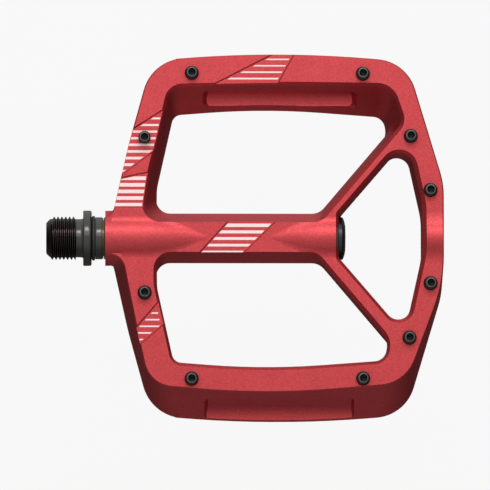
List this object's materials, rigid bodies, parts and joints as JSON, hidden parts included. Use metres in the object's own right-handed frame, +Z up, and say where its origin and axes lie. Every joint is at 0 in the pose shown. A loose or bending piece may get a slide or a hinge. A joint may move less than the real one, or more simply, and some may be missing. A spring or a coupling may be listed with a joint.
{
  "type": "flat bicycle pedal",
  "caption": "Wide flat bicycle pedal with a red metal platform, raised traction pins on both faces and a threaded black spindle.",
  "frame": {"origin": "on the spindle axis, at the collar face that seats against the crank arm", "axes": "+X along the spindle away from the crank, +Y forward on the right-hand side of the bicycle, +Z up out of the top face"},
  "size_m": [0.1312, 0.1208, 0.0226],
  "materials": {
    "red_anodised": "bead blasted and anodised red, satin",
    "black_steel": "black oxide, satin",
    "black_rubber": "matt",
    "dark_polymer": "matt",
    "plain_steel": "zinc plated",
    "bearing_steel": "ground and polished",
    "locking_polymer": "plain",
    "black_anodised": "anodised black, satin",
    "brass": "plain rolled brass",
    "printed_white": "thin white print"
  },
  "bodies": {
    "spindle": {"spindle": "black_steel", "inboard_dust_ring": "black_rubber", "thrust_washer": "brass", "inner_bearing_inner_race": "bearing_steel", "outer_bearing_inner_race": "bearing_steel", "bearing_washer": "plain_steel", "lock_nut": "plain_steel", "lock_nut_ring": "locking_polymer"},
    "platform": {"platform_body": "red_anodised", "inboard_lip_seal": "black_rubber", "glide_bush": "dark_polymer", "inner_bearing_outer_race": "bearing_steel", "inner_bearing_shields": "black_rubber", "outer_bearing_outer_race": "bearing_steel", "outer_bearing_shields": "black_rubber", "end_cap": "black_anodised", "end_cap_o_ring": "black_rubber", "pin_top_01": "black_steel", "pin_top_02": "black_steel", "pin_top_03": "black_steel", "pin_top_04": "black_steel", "pin_top_05": "black_steel", "pin_top_06": "black_steel", "pin_top_07": "black_steel", "pin_top_08": "black_steel", "pin_top_09": "black_steel", "pin_top_10": "black_steel", "pin_bottom_01": "black_steel", "pin_bottom_02": "black_steel", "pin_bottom_03": "black_steel", "pin_bottom_04": "black_steel", "pin_bottom_05": "black_steel", "pin_bottom_06": "black_steel", "pin_bottom_07": "black_steel", "pin_bottom_08": "black_steel", "pin_bottom_09": "black_steel", "pin_bottom_10": "black_steel"},
    "inner_ball_set": {"inner_bearing_ball_cage": "dark_polymer", "inner_bearing_balls": "bearing_steel"},
    "outer_ball_set": {"outer_bearing_ball_cage": "dark_polymer", "outer_bearing_balls": "bearing_steel"}
  },
  "joints": [
    {"name": "platform_spin", "type": "hinge", "parent": "spindle", "child": "platform", "pos_m": [0.05, 0, 0], "axis": [1, 0, 0], "continuous": true},
    {"name": "inner_ball_roll", "type": "hinge", "parent": "spindle", "child": "inner_ball_set", "pos_m": [0.0717, 0, 0], "axis": [1, 0, 0], "continuous": true},
    {"name": "outer_ball_roll", "type": "hinge", "parent": "spindle", "child": "outer_ball_set", "pos_m": [0.0767, 0, 0], "axis": [1, 0, 0], "continuous": true}
  ],
  "couplings": [
    {"joint": "inner_ball_roll", "follows": "platform_spin", "ratio": 0.6},
    {"joint": "outer_ball_roll", "follows": "platform_spin", "ratio": 0.6}
  ]
}
